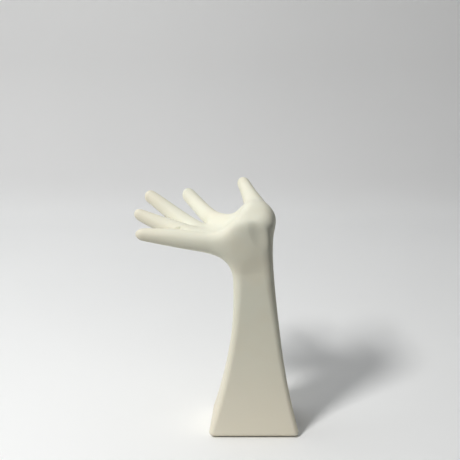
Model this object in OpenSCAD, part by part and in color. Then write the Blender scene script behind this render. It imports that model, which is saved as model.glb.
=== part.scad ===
// Open hand standing on its own forearm, cast in matte ceramic.
//
// Millimetres. Z is up and the table is the plane z = 0. The Z axis runs up the middle of the
// forearm. The forearm stands upright on its flared foot, the hand is bent back level with the
// palm up, the fingers point to -X and the thumb and the forefinger point back to +Y.
//
// Every clay piece shares one skin: a distance that is zero on the surface of the finished hand.
// Each piece is the part of that body between its own joint planes, so the seams run flush.

/* [Forearm] */

// Width of the foot along X, at the table
foot_w = 82.5; // [78.5:1:86.5]
// Depth of the foot along Y, at the table
foot_d = 58; // [55:1:61]
// Thickness of the wrist along X
wrist_w = 35.5; // [34.5:0.5:37]
// Depth of the wrist along Y
wrist_d = 37; // [36:0.5:38.5]
// Height of the palm's middle above the table
palm_z = 178; // [168:1:190]
// Wall of the hollow forearm
wall_t = 5.5; // [4.5:0.5:6.5]

/* [Hand] */

// Length from the middle of the wrist to the tip of the middle finger
hand_len = 118; // [114:1:122]
// Thickness of the middle finger near its tip
finger_d = 10; // [9.5:0.1:10.4]

/* [Joints] */

// Diameter of the peg on the root of each finger
peg_d = 6; // [5:0.5:7]
// Length of the peg on the root of each finger
peg_len = 6; // [4:0.5:7]
// Outer diameter of the collar that stands up from the forearm into the hand
collar_d = 26; // [24:0.5:27]
// Height of that collar
collar_h = 4; // [3:0.5:6]
// Layer of slip between a peg or collar and its socket, all round
slip_gap = 0.15; // [0.1:0.05:0.3]

/* [Base] */

// Width of the plate that closes the foot
plate_w = 62; // [58:1:64]
// Depth of the plate that closes the foot
plate_d = 41; // [38:1:42]
// Thickness of the plate that closes the foot
plate_t = 4; // [3:0.5:5]
// Diameter of the hole that lets air out of the hollow
vent_d = 3; // [2:0.5:3.5]
// Width of the felt under the foot
felt_w = 71; // [66:1:72]
// Depth of the felt under the foot
felt_d = 47; // [43:1:48]
// Thickness of the felt under the foot
felt_t = 1; // [0.8:0.1:1.5]

/* [Hidden] */

clay = [0.90, 0.88, 0.82];
plate_clay = [0.86, 0.83, 0.77];
felt_grey = [0.62, 0.60, 0.57];

// Forearm
// The foot stands on the felt.
foot_z = felt_t;
// The foot flares out below this height and the wrist is straight above it.
straight_below = 18;
flare_top = palm_z - straight_below;
// The hand is luted to the forearm on this plane.
joint_below = 26;
wrist_z = palm_z - joint_below;
// The clay of the forearm runs up into the heel of the hand as far as this.
heel_above = 20;
heel_z = palm_z + heel_above;
heel_round = 8;
// The wrist leans towards the fingers by this much at the heel, over this height.
wrist_lean = 2.5;
lean_below = 88;
lean_h = 90;
foot_shift = -0.2;
// Half way up, the forearm bows out to the side of the thumb by this much.
arm_bow = 1.25;
// Towards the foot the sides flare by the first power, the front and back by the second.
side_flare = 2.1;
front_flare = 2.6;
// The fillet under the hand starts this far below the palm.
fillet_below = 70;
// The back of the section is narrower than its front by this share.
back_taper = 0.1;
foot_round = 4;
foot_corner = 5;
wrist_corner = 15;

// Blends between the parts of the skin
wrist_blend = 19.5;
thumb_blend = 10.5;
web_blend = 4;
palm_blend = 14;
cup_blend = 8;
// The front of the heel is flat, this far in front of the wrist.
front_slack = 0.8;
front_blend = 4;
// Below the joint the flat runs out forwards at this slope.
front_slope = 0.2;
// The fingers run together in the palm as far out as this and stand apart beyond it.
palm_near = 38;
palm_far = 72;
// The palm is cupped by a ball of this radius, whose middle is this far above the palm.
cup_r = 32;
cup_x = -40;
cup_y = 10;
cup_above = 37;
cup_at = [cup_x, cup_y, palm_z + cup_above];
// A shallow dent in the heel of the hand, on the side of the little finger
dent_x = 3;
dent_out = 2;
dent_above = 8;
dent_at = [dent_x, -wrist_d / 2 - dent_out, palm_z + dent_above];
dent_r = 9;
dent_half_h = 16;
dent_depth = 1.8;
// Upwards the dent runs aslant towards the fingers.
dent_slant = 0.3;

// Sizes of the fingers follow the hand.
hand_k = hand_len / 118;
finger_k = finger_d / 10;

// Each finger is [spine, radii, share of the spine that its round tip takes, share at its joint].
// The spine is a curve from the heel of the hand to the finger tip, measured from the palm's
// middle. The bends say how far it stands off the straight line at one third and two thirds.
little = finger([-15.5, -9, -3.5], [-101.5, -3, 4], [0, 0, -1], [0, 0, 0.3],
                [10.3, 9, 8.1, 4.6], 6.5, 0.58);
ring = finger([-15.5, -2, 0], [-105.3, 31, 12.5], [0, 0, -12], [0, 0, -6],
              [10, 8.7, 8.2, 4.6], 5.5, 0.58);
middle = finger([-15, 5, -5], [-97.3, 60, 21.6], [-2, 0, -18], [1.5, 0, -4.5],
                [9.8, 7.8, 7.6, 5.4], 5.5, 0.52);
index = finger([-12.7, 11, 13.3], [-62.8, 81.4, 17.5], [-7.7, 0, -19], [9.5, 0, -16.5],
               [11, 7.6, 7.4, 6.3], 5.2, 0.48);
thumb = finger([0, 12, 14], [-10.3, 77.5, 30.1], [7.6, 0, -4.7], [5.1, 0, -7.9],
               [13.1, 10.4, 6.4, 5.5], 5.2, 0.32);
FINGERS = [little, ring, middle, index, thumb];

// Sizes of the facets
finger_sides = 24;
finger_rings = 22;
corner_steps = 8;
side_steps = 4;
net_cell = 3.5;
$fn = 64;

// Joints
socket_slack = 0.4;
// The hollow runs on from the collar into the heel of the hand, and as a channel into the palm.
collar_wall = 3.8;
collar_lip = 1.2;
bore_r = collar_d / 2 - collar_wall;
heel_bore_r = bore_r - collar_lip;
heel_hollow_r = 10.5;
heel_hollow_x = -3;
heel_hollow_y = 2;
heel_hollow_below = 1;
heel_hollow = [heel_hollow_x, heel_hollow_y, palm_z - heel_hollow_below];
channel_r = 4.5;
channel_run = 39;
channel_y = 12;
channel_end_below = 5;
channel_end = [heel_hollow_x - channel_run, channel_y, palm_z - channel_end_below];
peg_root = 3;
collar_root = 3;
// The forearm's hollow is round for this far below the collar.
neck_h = 22;

// Base
plate_corner = 8;
plate_gap = 0.4;
ledge = 3;
plate_headroom = 0.3;
ledge_z = foot_z + plate_t + plate_headroom;
hollow_corner = 6;

// Curves and blends

function clamp(v, low, high) = min(max(v, low), high);
function mix(a, b, t) = a + (b - a) * t;
function ease(t) = let (c = clamp(t, 0, 1)) c * c * (3 - 2 * c);
function bezier(p, t) =
    let (s = 1 - t)
    p[0] * s * s * s + p[1] * 3 * s * s * t + p[2] * 3 * s * t * t + p[3] * t * t * t;
function smooth_min(a, b, k) =
    let (h = max(k - abs(a - b), 0) / k)
    min(a, b) - h * h * k / 4;
function smooth_max(a, b, k) = -smooth_min(-a, -b, k);
// Two faces that meet in an edge rounded to radius r
function round_edge(a, b, r) =
    min(-r, max(a, b)) + norm([max(r + a, 0), max(r + b, 0)]);

// Fingers

function finger(start, tip, bend_near, bend_far, radii, tip_len, joint) =
    let (middle_of_palm = [0, 0, palm_z],
         a = middle_of_palm + start * hand_k,
         b = middle_of_palm + tip * hand_k,
         chord = b - a,
         axis = chord / norm(chord))
    [[a,
      a + chord / 3 + across(bend_near * hand_k, axis),
      a + chord * 2 / 3 + across(bend_far * hand_k, axis),
      b],
     radii * finger_k,
     tip_len * finger_k / norm(chord),
     joint];
// The part of v square to the axis
function across(v, axis) = v - axis * (v * axis);
function chord_of(f) = f[0][3] - f[0][0];
function axis_of(f) = chord_of(f) / norm(chord_of(f));
function joint_of(f) = f[3];
function spine(f, t) = bezier(f[0], t);
function thickness(f, t) =
    let (q = clamp((t - 1 + f[2]) / f[2], 0, 1))
    bezier(f[1], t) * sqrt(1 - q * q);
// Distance from p to the finger, which ends in a ball at its joint
function finger_stub_distance(f, p) =
    let (t = clamp((p - f[0][0]) * axis_of(f) / norm(chord_of(f)), 0, joint_of(f) + 0.02))
    norm(p - spine(f, t)) - thickness(f, t);

// Forearm

// Half width, half depth, middle and corner radius of the forearm's section at height z
function arm_section(z) =
    let (flare = clamp(1 - z / flare_top, 0, 1),
         up = clamp(z / palm_z, 0, 1),
         bow = arm_bow * 4 * up * (1 - up),
         lean = wrist_lean * ease((z - palm_z + lean_below) / lean_h))
    [wrist_w / 2 + (foot_w - wrist_w) / 2 * pow(flare, side_flare),
     wrist_d / 2 + (foot_d - wrist_d) / 2 * pow(flare, front_flare),
     foot_shift + bow - lean,
     mix(foot_corner, wrist_corner, pow(z / heel_z, 3))];
function taper_at(y, half_d) = 1 - back_taper / 2 * (1 + clamp(y / half_d, -1, 1));
function arm_distance(p) =
    let (s = arm_section(clamp(p[2], 0, heel_z + 6)),
         across_x = abs(p[0] - s[2]) - s[0] * taper_at(p[1], s[1]) + s[3],
         across_y = abs(p[1]) - s[1] + s[3],
         side = min(max(across_x, across_y), 0)
                + norm([max(across_x, 0), max(across_y, 0)]) - s[3])
    round_edge(0.95 * side, p[2] - heel_z, heel_round);

// The whole hand, with the fingers cut short at their joints

function skin(p) =
    let (out = clamp((norm([p[0], p[1]]) - palm_near) / (palm_far - palm_near), 0, 1),
         k = mix(palm_blend, web_blend, out),
         d = [for (f = FINGERS) finger_stub_distance(f, p)],
         four = smooth_min(smooth_min(smooth_min(d[0], d[1], k), d[2], k), d[3], k),
         hand = smooth_min(four, d[4], thumb_blend),
         whole = smooth_min(hand, arm_distance(p), wrist_blend))
    smooth_max(smooth_max(whole, front(p), front_blend), cup_r - norm(p - cup_at), cup_blend)
        + dent(p);
// Distance in front of the flat of the heel
function front(p) = -p[1] - wrist_d / 2 - front_slack - front_slope * max(wrist_z - p[2], 0);
// How deep the dent in the heel is at p
function dent(p) =
    let (q = p - dent_at,
         x = q[0] + dent_slant * q[2],
         share = max(1 - (x * x + q[1] * q[1]) / (dent_r * dent_r)
                       - q[2] * q[2] / (dent_half_h * dent_half_h), 0))
    dent_depth * share * share;
function skin_slope(p, e = 0.2) =
    [skin(p + [e, 0, 0]) - skin(p - [e, 0, 0]),
     skin(p + [0, e, 0]) - skin(p - [0, e, 0]),
     skin(p + [0, 0, e]) - skin(p - [0, 0, e])] / (2 * e);
// p moved onto the skin
function settle(p, steps) =
    steps == 0 ? p :
    let (g = skin_slope(p),
         d = skin(p) / max(g * g, 0.25))
    settle(p - g * clamp(d, -net_cell / 2, net_cell / 2), steps - 1);

// Rings joined into closed faceted solids

// Points round a rectangle with round corners, as [x, y] from its middle
function rounded_rectangle(half_w, half_d, corner) =
    let (turn = [for (side = [0 : 3]) each concat(
             [for (i = [0 : corner_steps]) let (a = 90 * (side + i / corner_steps))
                 corner_middle(side, half_w - corner, half_d - corner) + corner * [cos(a), sin(a)]],
             [for (i = [1 : side_steps - 1])
                 mix(corner_end(side, half_w, half_d, corner),
                     corner_start((side + 1) % 4, half_w, half_d, corner), i / side_steps)])])
    turn;
function corner_middle(side, x, y) = [side == 0 || side == 3 ? x : -x, side < 2 ? y : -y];
function corner_start(side, half_w, half_d, corner) =
    corner_middle(side, half_w - corner, half_d - corner) + corner * [cos(90 * side), sin(90 * side)];
function corner_end(side, half_w, half_d, corner) =
    corner_middle(side, half_w - corner, half_d - corner)
    + corner * [cos(90 * side + 90), sin(90 * side + 90)];

// Triangles between ring i and ring i + 1, in a list of rings of n points
function band(i, next, n) =
    [for (j = [0 : n - 1]) each let (k = (j + 1) % n)
        [[i * n + j, next * n + k, i * n + k], [i * n + j, next * n + j, next * n + k]]];
// Triangles from a ring to one point in its middle
function fan(first, n, point, flip) =
    [for (j = [0 : n - 1]) let (a = first + j, b = first + (j + 1) % n)
        flip ? [point, b, a] : [point, a, b]];

// A finger from its joint plane to its tip, with the peg that holds it

function finger_ring(f, t) =
    let (axis = axis_of(f),
         u = cross(axis, [0, 0, 1]) / norm(cross(axis, [0, 0, 1])),
         v = cross(axis, u),
         middle = spine(f, t),
         r = thickness(f, t))
    [for (j = [0 : finger_sides - 1]) let (a = 360 * j / finger_sides)
        middle + r * (u * cos(a) + v * sin(a))];
module finger_body(f) {
    // The rings draw together towards the tip, where the finger curves most.
    shares = [for (i = [0 : finger_rings - 1])
        mix(joint_of(f), 1, 1 - pow(1 - i / finger_rings, 2))];
    points = concat([for (t = shares) each finger_ring(f, t)], [spine(f, joint_of(f)), spine(f, 1)]);
    count = finger_rings * finger_sides;
    faces = concat([for (i = [0 : finger_rings - 2]) each band(i, i + 1, finger_sides)],
                   fan(0, finger_sides, count, false),
                   fan(count - finger_sides, finger_sides, count + 1, true));
    polyhedron(points, faces);
}
// Puts children on the joint of a finger, with Z along the finger
module at_joint(f) {
    axis = axis_of(f);
    u = cross(axis, [0, 0, 1]) / norm(cross(axis, [0, 0, 1]));
    v = cross(axis, u);
    p = spine(f, joint_of(f));
    multmatrix([[u[0], v[0], axis[0], p[0]],
                [u[1], v[1], axis[1], p[1]],
                [u[2], v[2], axis[2], p[2]]])
        children();
}
module finger_piece(f) {
    color(clay)
        union() {
            finger_body(f);
            at_joint(f)
                translate([0, 0, -peg_len])
                    rotate([0, 0, 180 / finger_sides])
                        cylinder(d = peg_d, h = peg_len + peg_root);
        }
}

// Forearm: a flared hollow casting

function arm_point(z, xy) =
    let (s = arm_section(z))
    [s[2] + xy[0] * taper_at(xy[1], s[1]), xy[1], z];
// Outer ring, drawn out to the skin where the fillet under the hand begins
function arm_ring(z, inset = 0) =
    let (s = arm_section(z),
         outline = rounded_rectangle(s[0] - inset, s[1] - inset, s[3] - inset / 2))
    [for (xy = outline) let (p = arm_point(z, xy))
        z < palm_z - fillet_below ? p : draw_out(p, [s[2], 0, z], 0.9, 1.4, 12)];
// p moved away from the middle until it lies on the skin, between two shares of its distance
function draw_out(p, middle, low, high, steps) =
    let (share = (low + high) / 2)
    steps == 0 ? mix(middle, p, share) :
    skin(mix(middle, p, share)) > 0
        ? draw_out(p, middle, low, share, steps - 1)
        : draw_out(p, middle, share, high, steps - 1);
// Inner ring, which turns into the round bore of the collar at the wrist
function hollow_ring(z) =
    let (s = arm_section(z),
         t = ease((z - wrist_z + collar_root + neck_h) / neck_h),
         half_w = min(plate_w / 2 - ledge, s[0] * (1 - back_taper / 2) - wall_t),
         half_d = min(plate_d / 2 - ledge, s[1] - wall_t),
         round_r = bore_r + 0.4,
         outline = rounded_rectangle(mix(half_w, round_r, t), mix(half_d, round_r, t),
                                     mix(hollow_corner, round_r - 0.01, t)))
    [for (xy = outline) [s[2] * (1 - t) + xy[0], xy[1], z]];
function flat_ring(half_w, half_d, corner, z) =
    [for (xy = rounded_rectangle(half_w, half_d, corner)) [xy[0], xy[1], z]];
module forearm() {
    rounding = [for (a = [0, 30, 60]) arm_ring(foot_z + foot_round * (1 - cos(a)),
                                              foot_round * (1 - sin(a)))];
    outer_z = [for (i = [0 : 17]) mix(foot_z + foot_round, wrist_z, i / 17)];
    inner_z = [for (i = [12 : -1 : 0]) mix(ledge_z, wrist_z, i / 12)];
    rebate = [for (z = [ledge_z, foot_z])
        flat_ring(plate_w / 2 + plate_gap, plate_d / 2 + plate_gap, plate_corner + plate_gap, z)];
    rings = concat(rounding, [for (z = outer_z) arm_ring(z)], [for (z = inner_z) hollow_ring(z)], rebate);
    n = len(rings[0]);
    color(clay)
        union() {
            polyhedron([for (ring = rings) each ring],
                       [for (i = [0 : len(rings) - 1]) each band(i, (i + 1) % len(rings), n)]);
            collar();
        }
}
module collar() {
    translate([0, 0, wrist_z - collar_root])
        difference() {
            cylinder(d = collar_d, h = collar_root + collar_h);
            translate([0, 0, -1])
                cylinder(r = bore_r, h = collar_root + collar_h + 2);
        }
}

// Palm: the skin between the wrist and the finger joints, wrapped in a net of small cells

// Corner of the grid that the net hangs on, and its count of cells each way
joints = [for (f = FINGERS) spine(f, joint_of(f))];
reach = max([for (f = FINGERS) thickness(f, joint_of(f))]) + net_cell;
net_margin = 6;
net_closed_z = wrist_z - net_cell;
net_low = [min([for (p = joints) p[0]]) - reach, -wrist_d / 2 - net_margin, net_closed_z - net_cell / 2];
net_high = [wrist_w / 2 + net_margin, max([for (p = joints) p[1]]) + reach, heel_z + 2.5 * net_margin];
net_n = [for (i = [0 : 2]) ceil((net_high[i] - net_low[i]) / net_cell)];

function grid_point(i, j, k) = net_low + net_cell * [i, j, k];
// The palm is closed off a little below the wrist plane, and cut to the plane afterwards.
function palm_value(p) = max(skin(p), net_closed_z - p[2]);
CORNERS = [for (i = [0, 1], j = [0, 1], k = [0, 1]) [i, j, k]];
EDGES = [for (a = [0 : 7], b = [0 : 7])
    if (a < b && norm(CORNERS[a] - CORNERS[b]) == 1) [a, b]];
// Mean of the points where the skin crosses the edges of a cell
function crossing_mean(cell, v) =
    let (hits = [for (e = EDGES) if ((v[e[0]] < 0) != (v[e[1]] < 0))
             mix(CORNERS[e[0]], CORNERS[e[1]], v[e[0]] / (v[e[0]] - v[e[1]]))],
         total = [for (h = hits) 1] * hits)
    grid_point(cell[0], cell[1], cell[2]) + net_cell * total / len(hits);
function settled(p) = p[2] < net_closed_z + net_cell / 2 ? p : settle(p, 3);

module palm_body() {
    value = [for (i = [0 : net_n[0]]) [for (j = [0 : net_n[1]]) [for (k = [0 : net_n[2]])
        palm_value(grid_point(i, j, k))]]];
    cells = [for (i = [0 : net_n[0] - 1], j = [0 : net_n[1] - 1], k = [0 : net_n[2] - 1])
        [i, j, k]];
    corner_values = [for (c = cells) [for (q = CORNERS) value[c[0] + q[0]][c[1] + q[1]][c[2] + q[2]]]];
    crossed = [for (v = corner_values) min(v) < 0 && max(v) >= 0 ? 1 : 0];
    // Running count, so that each crossed cell knows the number of its point
    number = [for (i = 0, n = crossed[0]; i < len(crossed);
                   i = i + 1, n = n + (i < len(crossed) ? crossed[i] : 0)) n];
    points = [for (i = [0 : len(cells) - 1]) if (crossed[i] == 1)
        settled(crossing_mean(cells[i], corner_values[i]))];
    function point_of(i, j, k) = number[(i * net_n[1] + j) * net_n[2] + k] - 1;
    function inside(i, j, k) = value[i][j][k] < 0;
    // The four cells round a crossed grid edge make two triangles.
    function quad(a, b, c, d, flip) =
        let (short_way = norm(points[a] - points[c]) <= norm(points[b] - points[d]),
             pair = short_way ? [[a, b, c], [a, c, d]] : [[a, b, d], [b, c, d]])
        [for (t = pair) flip ? [t[0], t[2], t[1]] : t];
    along_x = [for (i = [0 : net_n[0] - 1], j = [1 : net_n[1] - 1], k = [1 : net_n[2] - 1])
        if (inside(i, j, k) != inside(i + 1, j, k))
            each quad(point_of(i, j - 1, k - 1), point_of(i, j, k - 1), point_of(i, j, k),
                      point_of(i, j - 1, k), inside(i, j, k))];
    along_y = [for (i = [1 : net_n[0] - 1], j = [0 : net_n[1] - 1], k = [1 : net_n[2] - 1])
        if (inside(i, j, k) != inside(i, j + 1, k))
            each quad(point_of(i - 1, j, k - 1), point_of(i - 1, j, k), point_of(i, j, k),
                      point_of(i, j, k - 1), inside(i, j, k))];
    along_z = [for (i = [1 : net_n[0] - 1], j = [1 : net_n[1] - 1], k = [0 : net_n[2] - 1])
        if (inside(i, j, k) != inside(i, j, k + 1))
            each quad(point_of(i - 1, j - 1, k), point_of(i, j - 1, k), point_of(i, j, k),
                      point_of(i - 1, j, k), inside(i, j, k))];
    polyhedron(points, concat(along_x, along_y, along_z));
}
// Cuts the stub of a finger off flat at the joint and sinks the socket for the peg
module finger_joint_cut(f) {
    r = thickness(f, joint_of(f));
    at_joint(f) {
        cylinder(r = r + 2, h = r + 4);
        translate([0, 0, -peg_len - socket_slack])
            cylinder(d = peg_d + 2 * slip_gap, h = peg_len + socket_slack + 1);
    }
}
module wrist_joint_cut() {
    translate([-wrist_w, -wrist_d, wrist_z - 10])
        cube([2 * wrist_w, 2 * wrist_d, 10]);
    translate([0, 0, wrist_z - 1])
        cylinder(d = collar_d + 2 * slip_gap, h = collar_h + socket_slack + 1);
    translate([heel_hollow[0], heel_hollow[1], wrist_z])
        cylinder(r = heel_bore_r, h = heel_hollow[2] - wrist_z);
}
// Hollow of the heel, with the channel that runs from it into the palm
module palm_hollow() {
    run = channel_end - heel_hollow;
    translate(heel_hollow)
        sphere(r = heel_hollow_r);
    translate(channel_end)
        sphere(r = channel_r);
    translate(heel_hollow)
        rotate([0, acos(run[2] / norm(run)), atan2(run[1], run[0])])
            cylinder(r = channel_r, h = norm(run));
}
module palm() {
    color(clay)
        difference() {
            palm_body();
            wrist_joint_cut();
            palm_hollow();
            for (f = FINGERS)
                finger_joint_cut(f);
        }
}

// Base

// Flat slab with round corners, standing on z = 0
module slab(w, d, corner, t) {
    inner_w = w - 2 * corner;
    inner_d = d - 2 * corner;
    translate([-w / 2, -inner_d / 2, 0])
        cube([w, inner_d, t]);
    translate([-inner_w / 2, -d / 2, 0])
        cube([inner_w, d, t]);
    for (x = [-1, 1], y = [-1, 1])
        translate([x * inner_w / 2, y * inner_d / 2, 0])
            cylinder(r = corner, h = t);
}
module base_plate() {
    color(plate_clay)
        translate([0, 0, foot_z])
            difference() {
                slab(plate_w, plate_d, plate_corner, plate_t);
                translate([0, 0, -1])
                    cylinder(d = vent_d, h = plate_t + 2);
            }
}
module felt() {
    color(felt_grey)
        slab(felt_w, felt_d, plate_corner, felt_t);
}

forearm();
palm();
finger_piece(thumb);
finger_piece(index);  // index_finger
finger_piece(middle);  // middle_finger
finger_piece(ring);  // ring_finger
finger_piece(little);  // little_finger
base_plate();
felt();
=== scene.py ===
"""Dresses the ceramic hand: its skin, the base, the floor, the light and the camera.

The skin is the same surface that the part's source describes. Lengths are in millimetres in the
shape functions, and become metres where a mesh is made.
"""

import math

import bmesh
import bpy
import numpy as np
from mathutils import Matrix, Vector


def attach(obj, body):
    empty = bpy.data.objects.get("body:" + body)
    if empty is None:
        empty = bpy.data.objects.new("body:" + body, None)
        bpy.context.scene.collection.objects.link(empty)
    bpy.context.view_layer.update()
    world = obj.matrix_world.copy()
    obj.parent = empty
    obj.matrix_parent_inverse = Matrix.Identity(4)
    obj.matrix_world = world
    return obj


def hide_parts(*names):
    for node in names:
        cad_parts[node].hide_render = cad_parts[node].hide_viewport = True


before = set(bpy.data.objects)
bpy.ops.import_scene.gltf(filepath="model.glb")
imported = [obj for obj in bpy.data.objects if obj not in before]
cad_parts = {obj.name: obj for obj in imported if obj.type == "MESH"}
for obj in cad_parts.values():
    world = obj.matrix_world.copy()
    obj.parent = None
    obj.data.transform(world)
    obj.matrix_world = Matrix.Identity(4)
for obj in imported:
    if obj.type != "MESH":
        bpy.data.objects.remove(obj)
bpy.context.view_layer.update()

MM = 0.001

# Sizes of the object
FOOT_W = 82.5
FOOT_D = 58.0
WRIST_W = 35.5
WRIST_D = 37.0
PALM_Z = 178.0
FELT_T = 1.0
PLATE_W = 62.0
PLATE_D = 41.0
PLATE_T = 4.0
PLATE_CORNER = 8.0
PLATE_GAP = 0.4

# Heights that follow from them
FOOT_Z = FELT_T
FLARE_TOP = PALM_Z - 18
WRIST_Z = PALM_Z - 26
HEEL_Z = PALM_Z + 20
LEDGE_Z = FOOT_Z + PLATE_T + 0.3

# Form of the forearm
HEEL_ROUND = 8.0
# Above this height the section no longer changes.
SECTION_TOP = HEEL_Z + 6
# The wrist leans towards the fingers by this much, from this far below the palm and over this height.
WRIST_LEAN = 2.5
LEAN_BELOW = 88
LEAN_H = 90
FOOT_SHIFT = -0.2
ARM_BOW = 1.25
SIDE_FLARE = 2.1
FRONT_FLARE = 2.6
BACK_TAPER = 0.1
FOOT_ROUND = 4.0
FOOT_CORNER = 5.0
WRIST_CORNER = 15.0
# The sides lean, so the distance to them is this share of the level one.
SIDE_SHARE = 0.95

# Blends between the parts of the skin
WRIST_BLEND = 19.5
THUMB_BLEND = 10.5
WEB_BLEND = 4.0
PALM_BLEND = 14.0
CUP_BLEND = 8.0
# The front of the heel is flat, a little in front of the wrist, and slopes out below the joint.
FRONT_BLEND = 4.0
FRONT_SLACK = 0.8
FRONT_SLOPE = 0.2
PALM_NEAR = 38.0
PALM_FAR = 72.0
CUP_R = 32.0
CUP_AT = np.array([-40.0, 10.0, PALM_Z + 37])
# The dent in the heel of the hand, on the side of the little finger
DENT_AT = np.array([3.0, -WRIST_D / 2 - 2, PALM_Z + 8])
DENT_SIZE = np.array([9.0, 9.0, 16.0])
DENT_SLANT = 0.3
DENT_DEPTH = 1.8

# Fineness of the meshes
NET_CELL = 1.25
FINGER_SIDES = 72
FINGER_RINGS = 64
CORNER_STEPS = 22
SIDE_STEPS = 16
ARM_RINGS = 72
# The palm's fingers end in balls this share of their length beyond the joint planes.
STUB = 0.02
# The palm's net closes this far below the wrist plane, and what lies beyond the plane is cut off.
NET_BELOW = 4
# The grid of the net goes this far past the finger joints, the wrist and the palm.
PAST_JOINTS = 13
PAST_WRIST = 8
PAST_PALM = 32


# Curves and blends


def ease(t):
    t = np.clip(t, 0, 1)
    return t * t * (3 - 2 * t)


def bezier(p, t):
    s = 1 - t
    return p[0] * s**3 + p[1] * 3 * s * s * t + p[2] * 3 * s * t * t + p[3] * t**3


def smooth_min(a, b, k):
    h = np.maximum(k - np.abs(a - b), 0) / k
    return np.minimum(a, b) - h * h * k / 4


def smooth_max(a, b, k):
    return -smooth_min(-a, -b, k)


def round_edge(a, b, r):
    """Two faces that meet in an edge rounded to radius r."""
    return np.minimum(-r, np.maximum(a, b)) + np.hypot(np.maximum(r + a, 0), np.maximum(r + b, 0))


# Fingers


class Finger:
    """A tube along a curve from the heel of the hand to the finger tip."""

    def __init__(self, start, tip, bend_near, bend_far, radii, tip_len, joint):
        palm = np.array([0, 0, PALM_Z])
        a = palm + np.array(start, float)
        b = palm + np.array(tip, float)
        chord = b - a
        self.length = np.linalg.norm(chord)
        self.axis = chord / self.length
        near = a + chord / 3 + self.across(bend_near)
        far = a + chord * 2 / 3 + self.across(bend_far)
        self.points = [a, near, far, b]
        self.radii = radii
        self.tip_share = tip_len / self.length
        self.joint = joint
        side = np.cross(self.axis, [0, 0, 1])
        self.u = side / np.linalg.norm(side)
        self.v = np.cross(self.axis, self.u)

    def across(self, bend):
        """The part of a bend that stands square to the chord."""
        bend = np.array(bend, float)
        return bend - self.axis * (bend @ self.axis)

    def spine(self, t):
        return bezier(self.points, np.asarray(t)[..., None])

    def thickness(self, t):
        q = np.clip((t - 1 + self.tip_share) / self.tip_share, 0, 1)
        return bezier(self.radii, t) * np.sqrt(1 - q * q)

    def distance(self, p, last=1.0):
        t = np.clip((p - self.points[0]) @ self.axis / self.length, 0, last)
        return np.linalg.norm(p - self.spine(t), axis=-1) - self.thickness(t)


# Start, tip, bend near the palm, bend near the tip, radii, length of the round tip, place of the joint
LITTLE = Finger(
    [-15.5, -9, -3.5], [-101.5, -3, 4], [0, 0, -1], [0, 0, 0.3], [10.3, 9, 8.1, 4.6], 6.5, 0.58
)
RING = Finger(
    [-15.5, -2, 0], [-105.3, 31, 12.5], [0, 0, -12], [0, 0, -6], [10, 8.7, 8.2, 4.6], 5.5, 0.58
)
MIDDLE = Finger(
    [-15, 5, -5], [-97.3, 60, 21.6], [-2, 0, -18], [1.5, 0, -4.5], [9.8, 7.8, 7.6, 5.4], 5.5, 0.52
)
INDEX = Finger(
    [-12.7, 11, 13.3], [-62.8, 81.4, 17.5], [-7.7, 0, -19], [9.5, 0, -16.5], [11, 7.6, 7.4, 6.3], 5.2, 0.48
)
THUMB = Finger(
    [0, 12, 14], [-10.3, 77.5, 30.1], [7.6, 0, -4.7], [5.1, 0, -7.9], [13.1, 10.4, 6.4, 5.5], 5.2, 0.32
)
FINGERS = {
    "little_finger": LITTLE,
    "ring_finger": RING,
    "middle_finger": MIDDLE,
    "index_finger": INDEX,
    "thumb": THUMB,
}


# Forearm and the whole skin


def arm_section(z):
    """Half width, half depth, middle and corner radius of the forearm at height z."""
    flare = np.clip(1 - z / FLARE_TOP, 0, 1)
    up = np.clip(z / PALM_Z, 0, 1)
    half_w = WRIST_W / 2 + (FOOT_W - WRIST_W) / 2 * flare**SIDE_FLARE
    half_d = WRIST_D / 2 + (FOOT_D - WRIST_D) / 2 * flare**FRONT_FLARE
    bow = ARM_BOW * 4 * up * (1 - up)
    lean = WRIST_LEAN * ease((z - PALM_Z + LEAN_BELOW) / LEAN_H)
    corner = FOOT_CORNER + (WRIST_CORNER - FOOT_CORNER) * (z / HEEL_Z) ** 3
    return half_w, half_d, FOOT_SHIFT + bow - lean, corner


def taper_at(y, half_d):
    return 1 - BACK_TAPER / 2 * (1 + np.clip(y / half_d, -1, 1))


def arm_distance(p):
    half_w, half_d, middle, corner = arm_section(np.clip(p[..., 2], 0, SECTION_TOP))
    across_x = np.abs(p[..., 0] - middle) - half_w * taper_at(p[..., 1], half_d) + corner
    across_y = np.abs(p[..., 1]) - half_d + corner
    side = np.minimum(np.maximum(across_x, across_y), 0)
    side = side + np.hypot(np.maximum(across_x, 0), np.maximum(across_y, 0)) - corner
    standing = round_edge(SIDE_SHARE * side, FOOT_Z - p[..., 2], FOOT_ROUND)
    return round_edge(standing, p[..., 2] - HEEL_Z, HEEL_ROUND)


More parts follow.
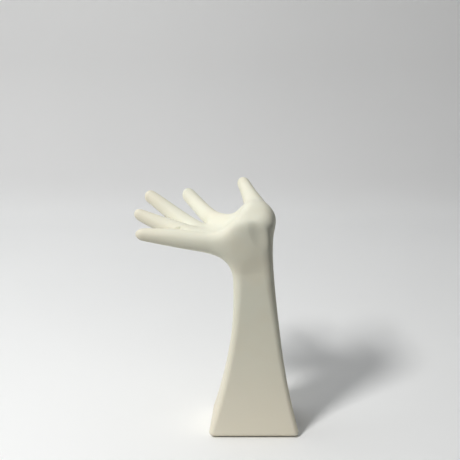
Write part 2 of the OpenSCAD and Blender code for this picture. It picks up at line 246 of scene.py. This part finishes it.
def skin(p, stubs=False):
    """Distance to the finished hand. With stubs, each finger ends in a ball at its joint."""
    out = np.clip((np.hypot(p[..., 0], p[..., 1]) - PALM_NEAR) / (PALM_FAR - PALM_NEAR), 0, 1)
    k = PALM_BLEND + (WEB_BLEND - PALM_BLEND) * out
    d = [f.distance(p, f.joint + STUB if stubs else 1.0) for f in FINGERS.values()]
    four = smooth_min(smooth_min(smooth_min(d[0], d[1], k), d[2], k), d[3], k)
    hand = smooth_min(four, d[4], THUMB_BLEND)
    whole = smooth_min(hand, arm_distance(p), WRIST_BLEND)
    below = np.maximum(WRIST_Z - p[..., 2], 0)
    front = -p[..., 1] - WRIST_D / 2 - FRONT_SLACK - FRONT_SLOPE * below
    whole = smooth_max(whole, front, FRONT_BLEND)
    cupped = smooth_max(whole, CUP_R - np.linalg.norm(p - CUP_AT, axis=-1), CUP_BLEND)
    q = p - DENT_AT
    q[..., 0] += DENT_SLANT * q[..., 2]
    dent = np.clip(1 - ((q / DENT_SIZE) ** 2).sum(-1), 0, 1)
    return cupped + DENT_DEPTH * dent * dent


def slope(p, distance=skin, e=0.1):
    steps = e * np.eye(3)
    return np.stack([distance(p + s) - distance(p - s) for s in steps], -1) / (2 * e)


def settle(p, distance, rounds=6):
    """Points moved along the slope until they lie on the skin."""
    for _ in range(rounds):
        g = slope(p, distance)
        d = distance(p) / np.maximum((g * g).sum(-1), 0.25)
        p = p - g * np.clip(d, -0.5, 0.5)[..., None]
    return p


def draw_out(middle, direction, low, high, rounds=26):
    """Points where rays from the middle leave the skin, between two lengths."""
    low = np.full(len(direction), float(low))
    high = np.full(len(direction), float(high))
    for _ in range(rounds):
        half = (low + high) / 2
        outside = skin(middle + direction * half[:, None]) > 0
        high = np.where(outside, half, high)
        low = np.where(outside, low, half)
    return middle + direction * ((low + high) / 2)[:, None]


# Meshes


def make_piece(name, points, faces, flat):
    """Mesh object with the skin's own normals, except on its flat faces."""
    mesh = bpy.data.meshes.new(name)
    mesh.from_pydata((points * MM).tolist(), [], faces)
    mesh.validate()
    mesh.polygons.foreach_set("use_smooth", [True] * len(mesh.polygons))
    lie = slope(points)
    lie /= np.maximum(np.linalg.norm(lie, axis=1, keepdims=True), 1e-9)
    mesh.update()
    corners = []
    for polygon, is_flat in zip(mesh.polygons, flat):
        for vertex in polygon.vertices:
            corners.append(tuple(polygon.normal) if is_flat else tuple(lie[vertex]))
    mesh.normals_split_custom_set(corners)
    obj = bpy.data.objects.new(name, mesh)
    bpy.context.scene.collection.objects.link(obj)
    return obj


def band(i, following, n):
    """Quads between two rings of n points."""
    a, b = i * n, following * n
    return [[a + j, a + (j + 1) % n, b + (j + 1) % n, b + j] for j in range(n)]


def finger_piece(name, f):
    """A finger from its joint plane to its tip."""
    step = np.arange(FINGER_RINGS) / FINGER_RINGS
    shares = f.joint + (1 - f.joint) * (1 - (1 - step) ** 2)
    turn = 2 * math.pi * np.arange(FINGER_SIDES) / FINGER_SIDES
    around = np.outer(np.cos(turn), f.u) + np.outer(np.sin(turn), f.v)
    rings = []
    for t in shares:
        r = float(f.thickness(t))
        rings.append(draw_out(f.spine(t), around, 0.5 * r, 1.3 * r + 0.05))
    n = FINGER_SIDES
    points = np.concatenate(rings + [f.spine(1.0)[None]])
    faces = [list(range(n - 1, -1, -1))]
    flat = [True]
    for i in range(FINGER_RINGS - 1):
        faces += band(i, i + 1, n)
    last = (FINGER_RINGS - 1) * n
    faces += [[last + j, last + (j + 1) % n, len(points) - 1] for j in range(n)]
    flat += [False] * (len(faces) - 1)
    return make_piece(name, points, faces, flat)


def rounded_rectangle(half_w, half_d, corner):
    """Points round a rectangle with round corners, anticlockwise from its right side."""
    middles = [(1, 1), (-1, 1), (-1, -1), (1, -1)]
    out = []
    for side in range(4):
        mx, my = (middles[side][0] * (half_w - corner), middles[side][1] * (half_d - corner))
        nx, ny = (
            middles[(side + 1) % 4][0] * (half_w - corner),
            middles[(side + 1) % 4][1] * (half_d - corner),
        )
        for i in range(CORNER_STEPS + 1):
            a = math.pi / 2 * (side + i / CORNER_STEPS)
            out.append((mx + corner * math.cos(a), my + corner * math.sin(a)))
        a = math.pi / 2 * (side + 1)
        leave = np.array([mx + corner * math.cos(a), my + corner * math.sin(a)])
        arrive = np.array([nx + corner * math.cos(a), ny + corner * math.sin(a)])
        for i in range(1, SIDE_STEPS):
            out.append(tuple(leave + (arrive - leave) * i / SIDE_STEPS))
    return np.array(out)


def arm_ring(z):
    """Ring of points on the skin of the forearm at height z."""
    half_w, half_d, middle, corner = (float(v) for v in arm_section(z))
    outline = rounded_rectangle(half_w, half_d, corner)
    outline[:, 0] *= taper_at(outline[:, 1], half_d)
    centre = np.array([middle, 0, z])
    rays = np.column_stack([outline, np.zeros(len(outline))])
    return draw_out(centre, rays, 0.7, 1.5)


def flat_ring(half_w, half_d, corner, z):
    outline = rounded_rectangle(half_w, half_d, corner)
    return np.column_stack([outline, np.full(len(outline), z)])


def forearm_piece():
    """The forearm up to the wrist, with the recess under its foot."""
    # The lowest ring lies a hair above the foot's flat underside, where the skin still has a slope.
    rounding = [FOOT_Z + FOOT_ROUND * (1 - math.cos(a)) for a in np.radians(np.linspace(2, 90, 9))]
    upright = np.linspace(FOOT_Z + FOOT_ROUND, WRIST_Z, ARM_RINGS)[1:]
    outer = [arm_ring(z) for z in rounding + list(upright)]
    outer[0][:, 2] = FOOT_Z
    half_w = PLATE_W / 2 + PLATE_GAP
    half_d = PLATE_D / 2 + PLATE_GAP
    corner = PLATE_CORNER + PLATE_GAP
    recess = [flat_ring(half_w, half_d, corner, z) for z in (LEDGE_Z, FOOT_Z)]
    rings = recess + outer
    n = len(rings[0])
    points = np.concatenate(rings)
    faces = [list(range(n - 1, -1, -1))]
    flat = [True]
    for i in range(len(rings) - 1):
        faces += band(i, i + 1, n)
        flat += [i < 2] * n
    top = (len(rings) - 1) * n
    faces.append([top + j for j in range(n)])
    flat.append(True)
    return make_piece("forearm_skin", points, faces, flat)


def palm_net():
    """Quads round the palm, from the grid cells that the skin passes through."""
    ends = np.array([f.spine(f.joint) for f in FINGERS.values()])
    low = np.array([ends[:, 0].min() - PAST_JOINTS, -WRIST_D / 2 - PAST_WRIST, WRIST_Z - NET_BELOW - 1])
    high = np.array([WRIST_W / 2 + PAST_WRIST, ends[:, 1].max() + PAST_JOINTS, PALM_Z + PAST_PALM])
    count = np.ceil((high - low) / NET_CELL).astype(int) + 1
    axes = [low[i] + NET_CELL * np.arange(count[i]) for i in range(3)]
    grid = np.stack(np.meshgrid(*axes, indexing="ij"), -1)

    def distance(p):
        return np.maximum(skin(p, stubs=True), WRIST_Z - NET_BELOW - p[..., 2])

    value = distance(grid)
    inside = value < 0
    total = np.zeros(tuple(count - 1) + (3,))
    hits = np.zeros(tuple(count - 1))
    walls = []
    for axis in range(3):
        one, two = [a for a in range(3) if a != axis]
        lower = tuple(slice(0, -1) if a == axis else slice(None) for a in range(3))
        upper = tuple(slice(1, None) if a == axis else slice(None) for a in range(3))
        crossed = inside[lower] != inside[upper]
        where = np.argwhere(crossed)
        a, b = value[lower][crossed], value[upper][crossed]
        point = grid[lower][crossed].copy()
        point[:, axis] += NET_CELL * a / (a - b)
        around = []
        for d_one, d_two in ((-1, -1), (0, -1), (0, 0), (-1, 0)):
            cell = where.copy()
            cell[:, one] += d_one
            cell[:, two] += d_two
            around.append(cell)
            np.add.at(total, tuple(cell.T), point)
            np.add.at(hits, tuple(cell.T), 1)
        # Quads run anticlockwise seen from outside.
        outward = inside[lower][crossed] != (axis == 1)
        walls.append((np.stack(around, 1), outward))
    used = hits > 0
    number = np.full(used.shape, -1)
    number[used] = np.arange(used.sum())
    points = total[used] / hits[used][:, None]
    free = points[:, 2] > WRIST_Z - NET_BELOW + 1
    points[free] = settle(points[free], lambda p: skin(p, stubs=True))
    faces = []
    for around, outward in walls:
        ids = number[tuple(np.moveaxis(around, -1, 0))]
        ids = np.where(outward[:, None], ids, ids[:, ::-1])
        faces += ids.tolist()
    return points, faces


def cut_off(net, at, normal, reach):
    """Cuts away what lies beyond a plane near a point, and closes the cut."""
    near = [f for f in net.faces if (f.calc_center_median() - at).length < reach]
    geometry = set(near)
    for f in near:
        geometry.update(f.verts)
        geometry.update(f.edges)
    bmesh.ops.bisect_plane(net, geom=list(geometry), dist=1e-5, plane_co=at, plane_no=normal)
    beyond = [
        f
        for f in net.faces
        if (f.calc_center_median() - at).length < reach and (f.calc_center_median() - at).dot(normal) > 1e-5
    ]
    bmesh.ops.delete(net, geom=beyond, context="FACES")
    rim = [e for e in net.edges if e.is_boundary]
    cap = bmesh.ops.holes_fill(net, edges=rim, sides=0)["faces"]
    for f in cap:
        f.material_index = 1


def palm_piece():
    """The palm between the wrist plane and the finger joints."""
    points, faces = palm_net()
    mesh = bpy.data.meshes.new("palm net")
    mesh.from_pydata(points.tolist(), [], faces)
    net = bmesh.new()
    net.from_mesh(mesh)
    bpy.data.meshes.remove(mesh)
    past_finger = 9
    past_axis = 40
    for f in FINGERS.values():
        cut_off(net, Vector(f.spine(f.joint)), Vector(f.axis), float(f.thickness(f.joint)) + past_finger)
    cut_off(net, Vector((0, 0, WRIST_Z)), Vector((0, 0, -1)), past_axis)
    bmesh.ops.recalc_face_normals(net, faces=net.faces)
    net.verts.index_update()
    points = np.array([tuple(v.co) for v in net.verts])
    faces = [[v.index for v in f.verts] for f in net.faces]
    flat = [f.material_index == 1 for f in net.faces]
    net.free()
    return make_piece("palm_skin", points, faces, flat)


# Materials


class Nodes:
    """Short ways to build a node material."""

    def __init__(self, name):
        self.material = bpy.data.materials.new(name)
        self.material.use_nodes = True
        self.tree = self.material.node_tree
        self.tree.nodes.clear()
        self.out = self.add("ShaderNodeOutputMaterial")
        self.shader = self.add("ShaderNodeBsdfPrincipled")
        self.link(self.shader.outputs["BSDF"], self.out.inputs["Surface"])
        self.place = self.add("ShaderNodeTexCoord").outputs["Object"]

    def add(self, kind, **settings):
        node = self.tree.nodes.new(kind)
        for key, value in settings.items():
            setattr(node, key, value)
        return node

    def link(self, a, b):
        self.tree.links.new(a, b)

    def put(self, socket, value):
        """Sets a socket to a number, or links it."""
        if isinstance(value, bpy.types.NodeSocket):
            self.link(value, socket)
        else:
            socket.default_value = value

    def noise(self, scale, detail, roughness):
        node = self.add("ShaderNodeTexNoise")
        self.link(self.place, node.inputs["Vector"])
        node.inputs["Scale"].default_value = scale
        node.inputs["Detail"].default_value = detail
        node.inputs["Roughness"].default_value = roughness
        return node.outputs["Fac"]

    def math(self, operation, a, b, c=0.0):
        node = self.add("ShaderNodeMath", operation=operation)
        for socket, value in zip(node.inputs, (a, b, c)):
            self.put(socket, value)
        return node.outputs[0]

    def span(self, value, low, high, to_low=0.0, to_high=1.0):
        node = self.add("ShaderNodeMapRange", interpolation_type="SMOOTHSTEP")
        keys = ("Value", "From Min", "From Max", "To Min", "To Max")
        for key, v in zip(keys, (value, low, high, to_low, to_high)):
            self.put(node.inputs[key], v)
        return node.outputs["Result"]

    def mix(self, factor, a, b):
        node = self.add("ShaderNodeMix", data_type="RGBA")
        self.put(node.inputs["Factor"], factor)
        self.put(node.inputs["A"], a)
        self.put(node.inputs["B"], b)
        return node.outputs["Result"]

    def bump(self, height, distance, strength, normal=None):
        node = self.add("ShaderNodeBump")
        self.put(node.inputs["Height"], height)
        node.inputs["Distance"].default_value = distance
        node.inputs["Strength"].default_value = strength
        if normal is not None:
            self.link(normal, node.inputs["Normal"])
        return node.outputs["Normal"]

    def pits(self, scale, share, size):
        """Sparse round pits: 1 in a pit and 0 elsewhere. Scale is cells to the metre."""
        cells = self.add("ShaderNodeTexVoronoi", feature="F1")
        self.link(self.place, cells.inputs["Vector"])
        cells.inputs["Scale"].default_value = scale
        parts = self.add("ShaderNodeSeparateColor")
        self.link(cells.outputs["Color"], parts.inputs["Color"])
        chosen = self.math("LESS_THAN", parts.outputs[0], share)
        radius = self.math("MULTIPLY_ADD", parts.outputs[1], size * scale * 0.7, size * scale * 0.3)
        edge = self.math("DIVIDE", cells.outputs["Distance"], radius)
        return self.math("MULTIPLY", self.span(edge, 0.55, 1.0, 1.0, 0.0), chosen)


TIP_SHADE_AND_TINT = (0.745, 0.69, 0.555, 1)
FOOT_WARM_TINT = (0.83, 0.77, 0.63, 1)
FLECK_CLAY = (0.72, 0.68, 0.58, 1)
PIT_SHADE = (0.33, 0.30, 0.24, 1)
# Between these places, in metres, the colour turns warmer towards the finger tips and the foot; at the tips
# it also turns darker, partly the clay's tint and partly painted shade.
SHADE_AND_TINT_TIPS_X = (-0.105, -0.055)
FOOT_WARM_Z = (0.01, 0.13)


def ceramic(name, pale, warm, cool):
    """Matte fired clay with faint blotches, fine grain and pits; warmer and darker at the tips, partly a
    tint and partly painted shade, warmer at the foot, and with painted shade in the pits.
    """
    m = Nodes(name)
    blotch = m.span(m.noise(22, 3, 0.55), 0.38, 0.66)
    drift = m.span(m.noise(9, 2, 0.5), 0.35, 0.7)
    fleck = m.span(m.noise(900, 2, 0.6), 0.35, 0.75)
    colour = m.mix(blotch, pale, warm)
    colour = m.mix(m.math("MULTIPLY", drift, 0.5), colour, cool)
    parts = m.add("ShaderNodeSeparateXYZ")
    m.link(m.place, parts.inputs["Vector"])
    # painted shade and a warmer tint: the colour turns darker and warmer towards the finger tips
    tip_shade_and_tint = m.span(parts.outputs["X"], *SHADE_AND_TINT_TIPS_X, 0.65, 0.0)
    colour = m.mix(tip_shade_and_tint, colour, TIP_SHADE_AND_TINT)
    # the colour turns warmer towards the foot
    foot = m.span(parts.outputs["Z"], *FOOT_WARM_Z, 0.8, 0.0)
    colour = m.mix(foot, colour, FOOT_WARM_TINT)
    colour = m.mix(m.math("MULTIPLY", fleck, 0.05), colour, FLECK_CLAY)
    pit = m.pits(52, 0.34, 0.00052)
    pin = m.pits(160, 0.12, 0.00024)
    holes = m.math("MAXIMUM", pit, pin)
    # painted shade: the pits and pin holes are darkened
    colour = m.mix(m.math("MULTIPLY", holes, 0.55), colour, PIT_SHADE)
    m.put(m.shader.inputs["Base Color"], colour)
    m.put(m.shader.inputs["Roughness"], m.span(m.noise(120, 3, 0.6), 0.3, 0.7, 0.56, 0.7))
    m.shader.inputs["Specular IOR Level"].default_value = 0.38
    m.shader.inputs["Subsurface Weight"].default_value = 0.06
    m.shader.inputs["Subsurface Radius"].default_value = (0.004, 0.003, 0.002)
    m.shader.inputs["Subsurface Scale"].default_value = 0.5
    wave = m.bump(m.noise(55, 1, 0.4), 0.0012, 0.16)
    grain = m.bump(m.noise(1600, 3, 0.65), 0.00012, 0.22, wave)
    m.link(m.bump(holes, -0.0005, 0.8, grain), m.shader.inputs["Normal"])
    return m.material


def felt(name):
    """Short grey felt."""
    m = Nodes(name)
    tuft = m.noise(700, 4, 0.7)
    thread = m.noise(2600, 3, 0.7)
    colour = m.mix(m.span(tuft, 0.3, 0.7), (0.16, 0.155, 0.145, 1), (0.26, 0.25, 0.235, 1))
    colour = m.mix(m.math("MULTIPLY", thread, 0.3), colour, (0.36, 0.35, 0.33, 1))
    m.put(m.shader.inputs["Base Color"], colour)
    m.put(m.shader.inputs["Roughness"], m.span(tuft, 0.3, 0.7, 0.88, 1.0))
    m.shader.inputs["Specular IOR Level"].default_value = 0.15
    m.link(m.bump(m.math("ADD", tuft, thread), 0.0004, 0.7), m.shader.inputs["Normal"])
    return m.material


# Places on the paper, in metres: where it turns into the wall and takes a darker colour, as painted shade,
# and where it is dark in front, also painted shade.
WALL_SHADE_Y = (0.63, 0.74)
FRONT_SHADE_Y = (-0.27, -0.08)


def backdrop_paper(name):
    """Seamless pale paper, darker where it turns into the wall and dark in front of the object, out of the
    picture: both are painted shade.
    """
    m = Nodes(name)
    parts = m.add("ShaderNodeSeparateXYZ")
    m.link(m.place, parts.inputs["Vector"])
    tone = m.span(m.noise(2.4, 2, 0.5), 0.3, 0.7)
    paper = m.mix(tone, (0.92, 0.925, 0.925, 1), (0.94, 0.945, 0.945, 1))
    # painted shade: the paper is darker where it turns into the wall
    wall_shade = m.span(parts.outputs["Y"], *WALL_SHADE_Y)
    paper = m.mix(wall_shade, paper, m.mix(tone, (0.84, 0.84, 0.84, 1), (0.86, 0.86, 0.86, 1)))
    # painted shade: the paper in front of the object is dark
    near = m.span(parts.outputs["Y"], *FRONT_SHADE_Y)
    m.put(m.shader.inputs["Base Color"], m.mix(near, (0.20, 0.195, 0.18, 1), paper))
    m.put(m.shader.inputs["Roughness"], m.span(m.noise(300, 3, 0.6), 0.3, 0.7, 0.86, 0.95))
    m.shader.inputs["Specular IOR Level"].default_value = 0.1
    m.link(m.bump(m.noise(900, 3, 0.6), 0.0002, 0.15), m.shader.inputs["Normal"])
    return m.material


def dress(obj, material):
    obj.data.materials.clear()
    obj.data.materials.append(material)
    for polygon in obj.data.polygons:
        polygon.material_index = 0


# Pieces of the object

BISQUE = ceramic("bisque", (0.82, 0.81, 0.68, 1), (0.81, 0.78, 0.64, 1), (0.80, 0.81, 0.695, 1))
RAW_CLAY = ceramic("bisque underside", (0.79, 0.76, 0.68, 1), (0.76, 0.72, 0.62, 1), (0.78, 0.77, 0.70, 1))

skins = {"forearm": forearm_piece(), "palm": palm_piece()}
for node, finger in FINGERS.items():
    skins[node] = finger_piece(node + "_skin", finger)
for node, obj in skins.items():
    dress(obj, BISQUE)
    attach(obj, "root")
    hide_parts(node)

dress(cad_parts["base_plate"], RAW_CLAY)
dress(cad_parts["felt"], felt("felt"))


# Floor and backdrop

FLOOR_BACK = 0.60
SWEEP_R = 0.22
SWEEP_STEPS = 32
WALL_TOP = 2.2
SIDE = 2.6
FRONT = -2.4


def seamless():
    """A floor that curves up into a wall behind the object."""
    profile = [(FRONT, 0.0), (0.0, 0.0)]
    for i in range(SWEEP_STEPS + 1):
        a = math.pi / 2 * i / SWEEP_STEPS
        profile.append((FLOOR_BACK + SWEEP_R * math.sin(a), SWEEP_R * (1 - math.cos(a))))
    profile.append((FLOOR_BACK + SWEEP_R, WALL_TOP))
    points = [(x, y, z) for x in (-SIDE, SIDE) for y, z in profile]
    n = len(profile)
    faces = [(i, n + i, n + i + 1, i + 1) for i in range(n - 1)]
    mesh = bpy.data.meshes.new("seamless")
    mesh.from_pydata(points, [], faces)
    mesh.polygons.foreach_set("use_smooth", [True] * len(mesh.polygons))
    obj = bpy.data.objects.new("seamless", mesh)
    bpy.context.scene.collection.objects.link(obj)
    return obj


floor = seamless()
dress(floor, backdrop_paper("paper"))


# Light

LOOK_AT = Vector((-0.02, 0.0, 0.10))


def lamp(name, place, size, power, colour):
    """A round lamp of a size in metres and a power in watts, aimed at the object."""
    data = bpy.data.lights.new(name, "AREA")
    data.shape = "DISK"
    data.size = size
    data.energy = power
    data.color = colour
    obj = bpy.data.objects.new(name, data)
    obj.location = place
    bpy.context.scene.collection.objects.link(obj)
    obj.rotation_euler = (LOOK_AT - place).to_track_quat("-Z", "Y").to_euler()


KEY_AZIMUTH = math.radians(42)
KEY_HEIGHT = math.radians(50)
KEY_AWAY = 1.4
key_way = Vector(
    (
        -math.cos(KEY_AZIMUTH) * math.cos(KEY_HEIGHT),
        -math.sin(KEY_AZIMUTH) * math.cos(KEY_HEIGHT),
        math.sin(KEY_HEIGHT),
    )
)
lamp("key", LOOK_AT + key_way * KEY_AWAY, 0.28, 14.4, (1.0, 0.995, 0.98))
lamp("left", Vector((-1.2, 0.45, 1.3)), 1.5, 5.4, (0.97, 0.985, 1.0))
lamp("overhead", Vector((0, 0.4, 1.8)), 1.8, 6.5, (0.97, 0.99, 1.0))

world = bpy.data.worlds.new("studio")
world.use_nodes = True
background = world.node_tree.nodes["Background"]
background.inputs["Color"].default_value = (0.95, 0.975, 1.0, 1)
background.inputs["Strength"].default_value = 0.03
bpy.context.scene.world = world
bpy.context.scene.view_settings.view_transform = "Standard"


# Camera

CAMERA_PITCH = math.radians(18)
CAMERA_AWAY = 0.765
CAMERA_AIM = Vector((-0.02125, 0.0, 0.1844))
PICTURE = 460
FOCAL_PIXELS = 900

camera_data = bpy.data.cameras.new("camera")
camera_data.sensor_width = 36
camera_data.lens = 36 * FOCAL_PIXELS / PICTURE
camera = bpy.data.objects.new("camera", camera_data)
forward = Vector((0, math.cos(CAMERA_PITCH), -math.sin(CAMERA_PITCH)))
camera.location = CAMERA_AIM - forward * CAMERA_AWAY
camera.rotation_euler = (math.pi / 2 - CAMERA_PITCH, 0, 0)
bpy.context.scene.collection.objects.link(camera)
bpy.context.scene.camera = camera
